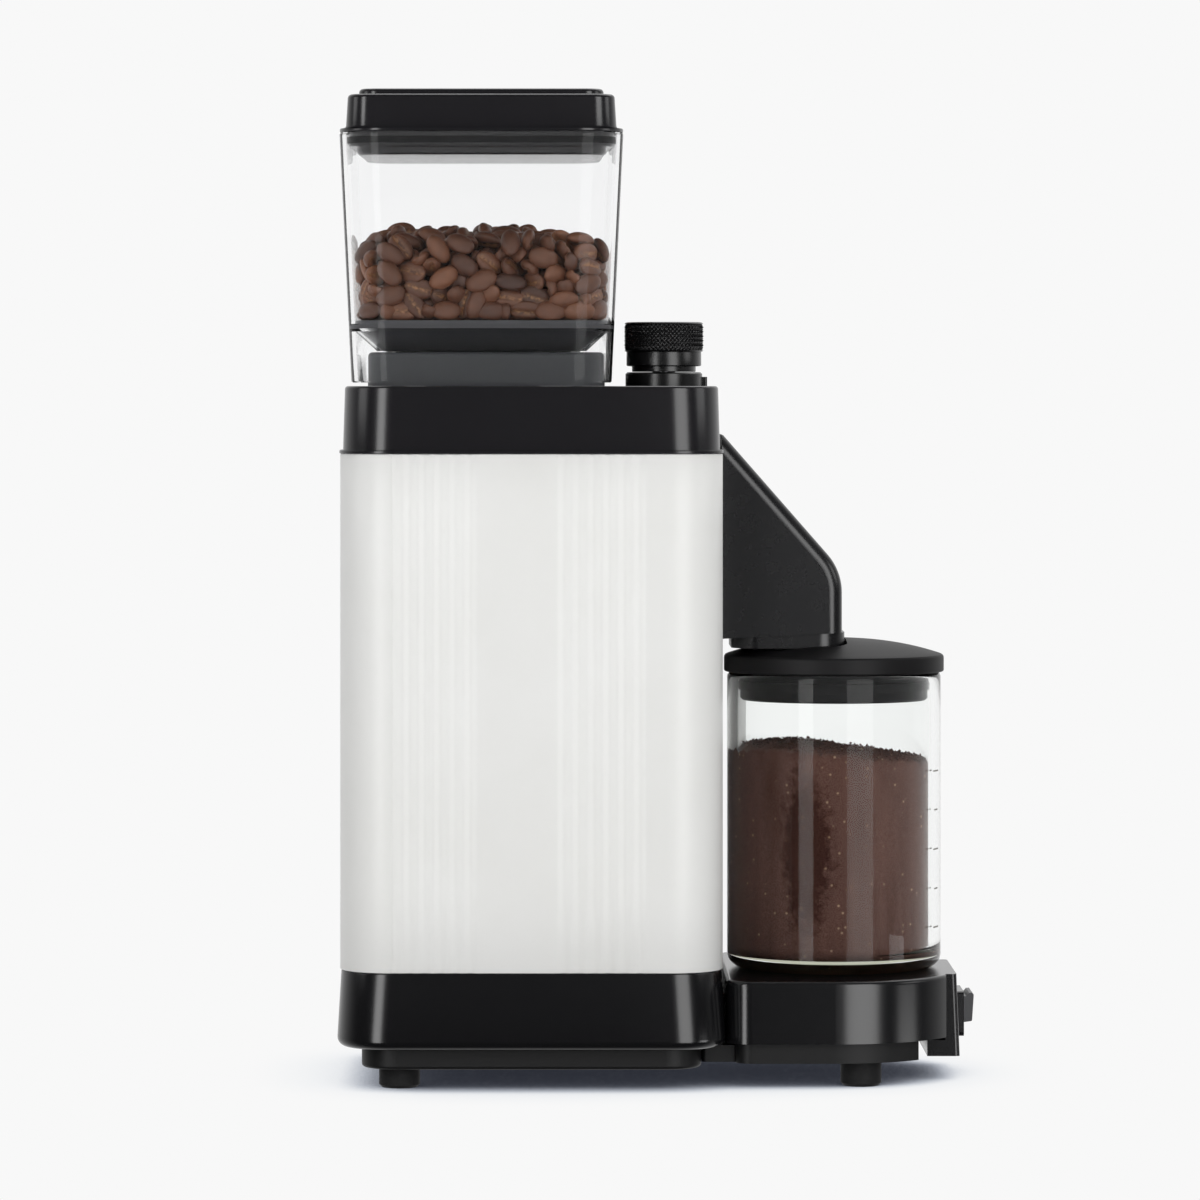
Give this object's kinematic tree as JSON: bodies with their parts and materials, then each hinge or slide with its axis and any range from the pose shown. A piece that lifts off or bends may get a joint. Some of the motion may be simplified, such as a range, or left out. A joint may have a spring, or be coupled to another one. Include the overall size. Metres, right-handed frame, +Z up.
{
  "type": "burr coffee grinder",
  "caption": "Upright burr coffee grinder with a square bean hopper, fluted body, front chute, glass jar on a low platform, grind knob and rocker switch.",
  "frame": {"origin": "centre of the overall box, on the surface the feet stand on", "axes": "+Z up; +X to the front, where the chute, jar and switch are; +Y to the machine's left side"},
  "size_m": [0.219, 0.1322, 0.3398],
  "materials": {
    "black_plastic": "fine satin texture",
    "white_paint": "satin",
    "clear_plastic": "clear",
    "glass": "clear",
    "smoke_plastic": "satin",
    "bean_brown": "oily satin",
    "grounds_brown": "matt crumb",
    "rubber": "matt",
    "steel": "machined",
    "cast_metal": "as cast",
    "brass": "machined",
    "copper": "machined",
    "magnet": "matt",
    "carbon": "matt",
    "grey_plastic": "satin",
    "nylon": "satin",
    "board_green": "laminate",
    "lead_sheath": "satin"
  },
  "bodies": {
    "housing": {"base_housing": "black_plastic", "bottom_plate": "black_plastic", "case_screws": "steel", "rubber_feet": "rubber", "jar_platform": "black_plastic", "platform_bottom_plate": "black_plastic", "switch_plate": "black_plastic", "switch_bezel": "black_plastic", "switch_body": "black_plastic", "body_sleeve": "white_paint", "top_cover": "black_plastic", "hopper_collar": "black_plastic", "knob_base_ring": "black_plastic", "chassis_frame": "grey_plastic", "gearbox_housing": "grey_plastic", "grinding_chamber": "cast_metal", "burr_shaft_bearings": "steel", "motor_can": "steel", "motor_end_cap": "cast_metal", "motor_nose_bearing": "brass", "motor_magnets": "magnet", "motor_brushes": "carbon", "motor_screws": "steel", "grounds_duct": "black_plastic", "chute_shell": "black_plastic", "spout_collar": "rubber", "control_board": "board_green", "board_components": "black_plastic", "cord_gland": "rubber", "wiring_leads": "lead_sheath"},
    "hopper": {"hopper": "clear_plastic", "hopper_floor": "smoke_plastic", "coffee_beans": "bean_brown"},
    "hopper_lid": {"hopper_lid": "black_plastic", "lid_plug": "black_plastic", "lid_seal": "rubber"},
    "jar": {"glass_jar": "glass", "ground_coffee": "grounds_brown", "jar_lid": "black_plastic", "jar_lid_seal": "rubber"},
    "knob": {"grind_knob": "black_plastic", "knob_shaft": "steel", "knob_pinion": "nylon"},
    "adjusting_ring": {"adjusting_ring": "nylon"},
    "burr_carrier": {"upper_burr_carrier": "cast_metal", "upper_burr": "steel", "upper_burr_screws": "steel"},
    "burr_drive": {"burr_shaft": "steel", "reduction_gear": "nylon", "gear_retaining_ring": "steel", "lower_burr": "steel", "lower_burr_carrier": "cast_metal", "lower_burr_screws": "steel"},
    "motor_rotor": {"motor_shaft": "steel", "motor_armature": "steel", "motor_commutator": "copper", "motor_fan": "nylon", "motor_pinion": "steel"},
    "rocker": {"switch_rocker": "grey_plastic"}
  },
  "joints": [
    {"name": "hopper_lift", "type": "slide", "parent": "housing", "child": "hopper", "axis": [0, 0, 1], "range_m": [0, 0.08]},
    {"name": "hopper_lid_lift", "type": "slide", "parent": "hopper", "child": "hopper_lid", "axis": [0, 0, 1], "range_m": [0, 0.06]},
    {"name": "jar_slide", "type": "slide", "parent": "housing", "child": "jar", "axis": [1, 0, 0], "range_m": [0, 0.09]},
    {"name": "knob_turn", "type": "hinge", "parent": "housing", "child": "knob", "pos_m": [0.00235, 0, 0.255], "axis": [0, 0, 1], "range_deg": [-150, 150]},
    {"name": "ring_turn", "type": "hinge", "parent": "housing", "child": "adjusting_ring", "pos_m": [-0.06065, 0, 0.227], "axis": [0, 0, 1], "range_deg": [-40.9, 40.9]},
    {"name": "burr_lift", "type": "slide", "parent": "housing", "child": "burr_carrier", "axis": [0, 0, 1], "range_m": [-0.00085, 0.00085]},
    {"name": "burr_spin", "type": "hinge", "parent": "housing", "child": "burr_drive", "pos_m": [-0.06065, 0, 0.19], "axis": [0, 0, 1], "continuous": true},
    {"name": "motor_spin", "type": "hinge", "parent": "housing", "child": "motor_rotor", "pos_m": [-0.02215, 0, 0.14], "axis": [0, 0, 1], "continuous": true},
    {"name": "switch_rock", "type": "hinge", "parent": "housing", "child": "rocker", "pos_m": [0.10195, 0, 0.0212], "axis": [0, 1, 0], "range_deg": [-9, 0]}
  ],
  "couplings": [
    {"joint": "knob_turn", "follows": "ring_turn", "ratio": -3.6667},
    {"joint": "burr_lift", "follows": "ring_turn", "m_per_rad": -0.0011},
    {"joint": "motor_spin", "follows": "burr_spin", "ratio": -4}
  ]
}
